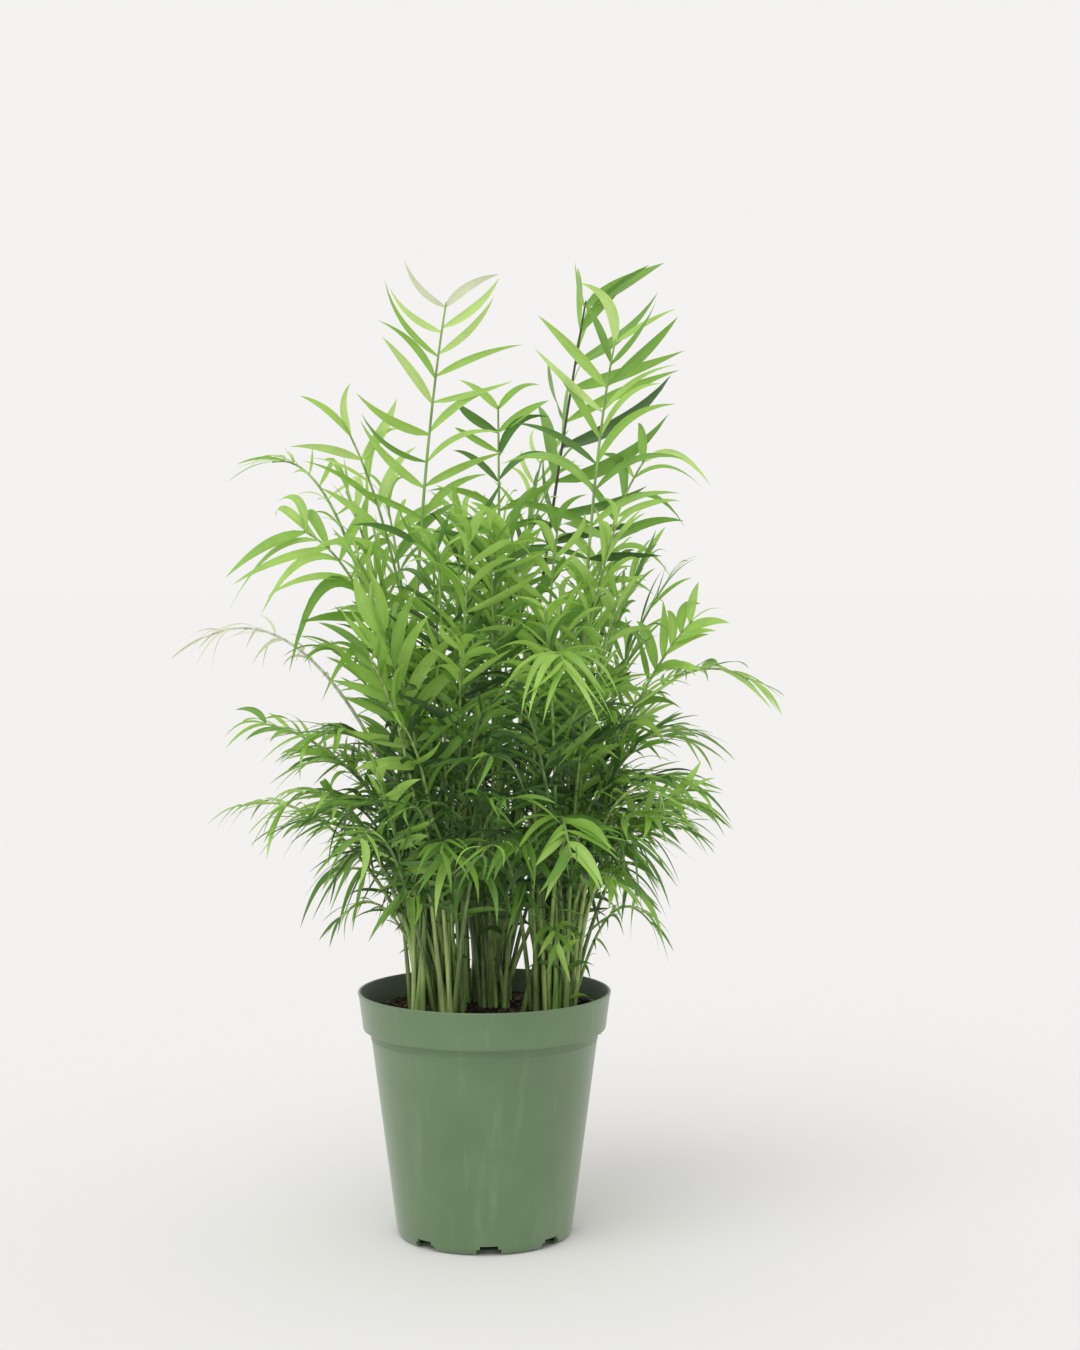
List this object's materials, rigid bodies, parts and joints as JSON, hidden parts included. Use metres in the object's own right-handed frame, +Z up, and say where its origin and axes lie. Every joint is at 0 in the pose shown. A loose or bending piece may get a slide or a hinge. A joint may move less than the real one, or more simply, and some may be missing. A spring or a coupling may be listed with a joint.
{
  "type": "potted parlour palm",
  "caption": "Bushy parlour palm with short clumped stems and arching feather fronds, growing in a plain round tapered nursery pot with a deep rim and drain slots.",
  "frame": {"origin": "centre of the pot's flat underside", "axes": "+Z up through the pot and crown, -Y towards the viewer of the picture, +X to the viewer's right"},
  "size_m": [0.399, 0.2757, 0.6024],
  "materials": {
    "pot": "satin moulded plastic, sage green",
    "soil": "damp peat mix with bark crumbs",
    "stem": "smooth green cane with ribbed sheaths",
    "frond": "satin leaf, pleated along its length"
  },
  "bodies": {
    "root": {"pot": "pot", "potting_soil": "soil", "stem_left_1": "stem", "stem_left_2": "stem", "stem_left_3": "stem", "stem_left_4": "stem", "stem_left_5": "stem", "stem_middle_1": "stem", "stem_middle_2": "stem", "stem_middle_3": "stem", "stem_middle_4": "stem", "stem_right_1": "stem", "stem_right_2": "stem", "stem_right_3": "stem", "stem_right_4": "stem", "stem_right_5": "stem", "frond_01": "frond", "frond_02": "frond", "frond_03": "frond", "frond_04": "frond", "frond_05": "frond", "frond_06": "frond", "frond_07": "frond", "frond_08": "frond", "frond_09": "frond", "frond_10": "frond", "frond_11": "frond", "frond_12": "frond", "frond_13": "frond", "frond_14": "frond", "frond_15": "frond", "frond_16": "frond", "frond_17": "frond", "frond_18": "frond", "frond_19": "frond", "frond_20": "frond", "frond_21": "frond", "frond_22": "frond", "frond_23": "frond", "frond_24": "frond", "frond_25": "frond", "frond_26": "frond", "frond_27": "frond", "frond_28": "frond", "frond_29": "frond", "frond_30": "frond", "frond_31": "frond", "frond_32": "frond", "frond_33": "frond", "frond_34": "frond", "frond_35": "frond", "frond_36": "frond", "frond_37": "frond", "frond_38": "frond", "frond_39": "frond", "frond_40": "frond", "frond_41": "frond", "frond_42": "frond", "frond_43": "frond", "frond_44": "frond"}
  },
  "joints": []
}
